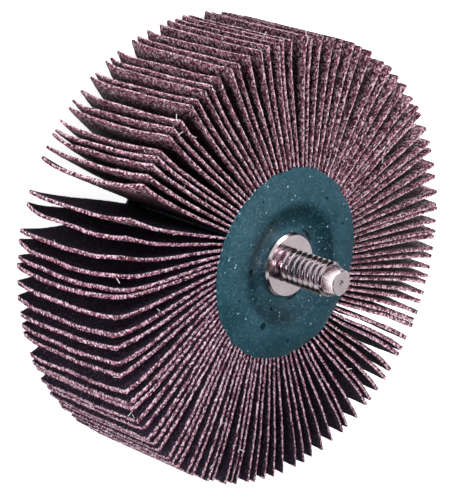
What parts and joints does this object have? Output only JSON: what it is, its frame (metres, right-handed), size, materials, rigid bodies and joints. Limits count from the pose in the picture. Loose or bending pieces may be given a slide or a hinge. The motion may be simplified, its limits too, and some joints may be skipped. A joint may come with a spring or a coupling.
{
  "type": "mounted flap wheel",
  "caption": "Round abrasive flap wheel: leaning strips of abrasive cloth cast into a resin hub on a threaded steel stud.",
  "frame": {"origin": "middle of the hub's flat back face, which the wheel stands on", "axes": "+Z along the wheel's axis towards the threaded stud; angles round Z go counter-clockwise seen from the stud"},
  "size_m": [0.0824, 0.0824, 0.0394],
  "materials": {
    "stud_steel": "bright plated, turned",
    "hub_resin": "cast resin, satin",
    "abrasive_cloth": "abrasive grain on woven cloth"
  },
  "bodies": {
    "root": {"threaded_stud": "stud_steel", "resin_core": "hub_resin", "flap_pair_01": "abrasive_cloth", "flap_pair_02": "abrasive_cloth", "flap_pair_03": "abrasive_cloth", "flap_pair_04": "abrasive_cloth", "flap_pair_05": "abrasive_cloth", "flap_pair_06": "abrasive_cloth", "flap_pair_07": "abrasive_cloth", "flap_pair_08": "abrasive_cloth", "flap_pair_09": "abrasive_cloth", "flap_pair_10": "abrasive_cloth", "flap_pair_11": "abrasive_cloth", "flap_pair_12": "abrasive_cloth", "flap_pair_13": "abrasive_cloth", "flap_pair_14": "abrasive_cloth", "flap_pair_15": "abrasive_cloth", "flap_pair_16": "abrasive_cloth", "flap_pair_17": "abrasive_cloth", "flap_pair_18": "abrasive_cloth", "flap_pair_19": "abrasive_cloth", "flap_pair_20": "abrasive_cloth", "flap_pair_21": "abrasive_cloth", "flap_pair_22": "abrasive_cloth", "flap_pair_23": "abrasive_cloth", "flap_pair_24": "abrasive_cloth", "flap_pair_25": "abrasive_cloth", "flap_pair_26": "abrasive_cloth", "flap_pair_27": "abrasive_cloth", "flap_pair_28": "abrasive_cloth", "flap_pair_29": "abrasive_cloth", "flap_pair_30": "abrasive_cloth", "flap_pair_31": "abrasive_cloth", "flap_pair_32": "abrasive_cloth", "flap_pair_33": "abrasive_cloth", "flap_pair_34": "abrasive_cloth", "flap_pair_35": "abrasive_cloth", "flap_pair_36": "abrasive_cloth", "flap_pair_37": "abrasive_cloth", "flap_pair_38": "abrasive_cloth", "flap_pair_39": "abrasive_cloth", "flap_pair_40": "abrasive_cloth", "flap_pair_41": "abrasive_cloth", "flap_pair_42": "abrasive_cloth", "flap_pair_43": "abrasive_cloth", "flap_pair_44": "abrasive_cloth", "flap_pair_45": "abrasive_cloth", "flap_pair_46": "abrasive_cloth", "flap_pair_47": "abrasive_cloth", "flap_pair_48": "abrasive_cloth", "flap_pair_49": "abrasive_cloth", "flap_pair_50": "abrasive_cloth", "flap_pair_51": "abrasive_cloth", "flap_pair_52": "abrasive_cloth", "flap_pair_53": "abrasive_cloth", "flap_pair_54": "abrasive_cloth"}
  },
  "joints": []
}
